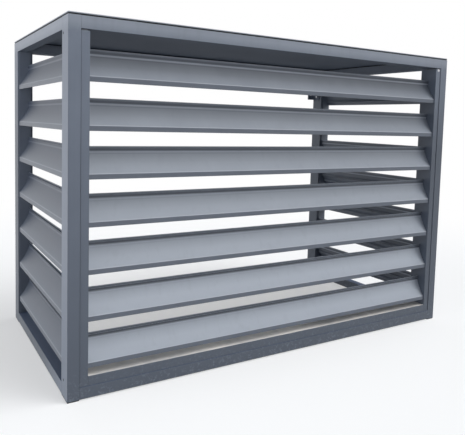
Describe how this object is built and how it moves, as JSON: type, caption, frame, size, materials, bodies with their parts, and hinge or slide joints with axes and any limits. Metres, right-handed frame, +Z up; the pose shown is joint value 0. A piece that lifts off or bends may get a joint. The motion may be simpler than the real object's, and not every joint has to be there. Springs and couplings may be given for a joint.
{
  "type": "air conditioner screen",
  "caption": "Louvred aluminium screen that stands over an outdoor air conditioner unit: tube frame, curved blades on the front and sides, flat top, open back and underside.",
  "frame": {"origin": "centre of the screen's footprint, on the floor", "axes": "+X along the front to the right as seen from the front, +Y to the wall behind, +Z up"},
  "size_m": [1.08, 0.565, 0.77],
  "materials": {
    "frame_coat": "satin fine-grained powder coat, blue grey",
    "blade_coat": "satin powder coat, blue grey",
    "black_rubber": "matt black rubber",
    "black_nylon": "moulded black nylon",
    "zinc_plate": "bright zinc-plated steel"
  },
  "bodies": {
    "root": {"front_left_post": "frame_coat", "front_left_foot": "black_rubber", "front_left_bottom_connector": "black_nylon", "front_left_top_connector": "black_nylon", "front_right_post": "frame_coat", "front_right_foot": "black_rubber", "front_right_bottom_connector": "black_nylon", "front_right_top_connector": "black_nylon", "rear_left_post": "frame_coat", "rear_left_foot": "black_rubber", "rear_left_bottom_connector": "black_nylon", "rear_left_top_connector": "black_nylon", "rear_right_post": "frame_coat", "rear_right_foot": "black_rubber", "rear_right_bottom_connector": "black_nylon", "rear_right_top_connector": "black_nylon", "top_front_rail": "frame_coat", "top_rear_rail": "frame_coat", "top_left_rail": "frame_coat", "top_right_rail": "frame_coat", "bottom_front_rail": "frame_coat", "bottom_left_rail": "frame_coat", "bottom_right_rail": "frame_coat", "top_panel": "frame_coat", "top_seal": "black_rubber", "insert_bottom_bar": "frame_coat", "insert_left_stile": "frame_coat", "insert_left_clip": "zinc_plate", "insert_left_cleat": "zinc_plate", "insert_right_stile": "frame_coat", "insert_right_clip": "zinc_plate", "insert_right_cleat": "zinc_plate", "left_front_carrier": "frame_coat", "left_rear_carrier": "frame_coat", "right_front_carrier": "frame_coat", "right_rear_carrier": "frame_coat", "left_wall_bracket": "frame_coat", "right_wall_bracket": "frame_coat", "front_blade_1": "blade_coat", "front_blade_2": "blade_coat", "front_blade_3": "blade_coat", "front_blade_4": "blade_coat", "front_blade_5": "blade_coat", "front_blade_6": "blade_coat", "front_blade_7": "blade_coat", "left_blade_1": "blade_coat", "left_blade_2": "blade_coat", "left_blade_3": "blade_coat", "left_blade_4": "blade_coat", "left_blade_5": "blade_coat", "left_blade_6": "blade_coat", "left_blade_7": "blade_coat", "right_blade_1": "blade_coat", "right_blade_2": "blade_coat", "right_blade_3": "blade_coat", "right_blade_4": "blade_coat", "right_blade_5": "blade_coat", "right_blade_6": "blade_coat", "right_blade_7": "blade_coat"}
  },
  "joints": []
}
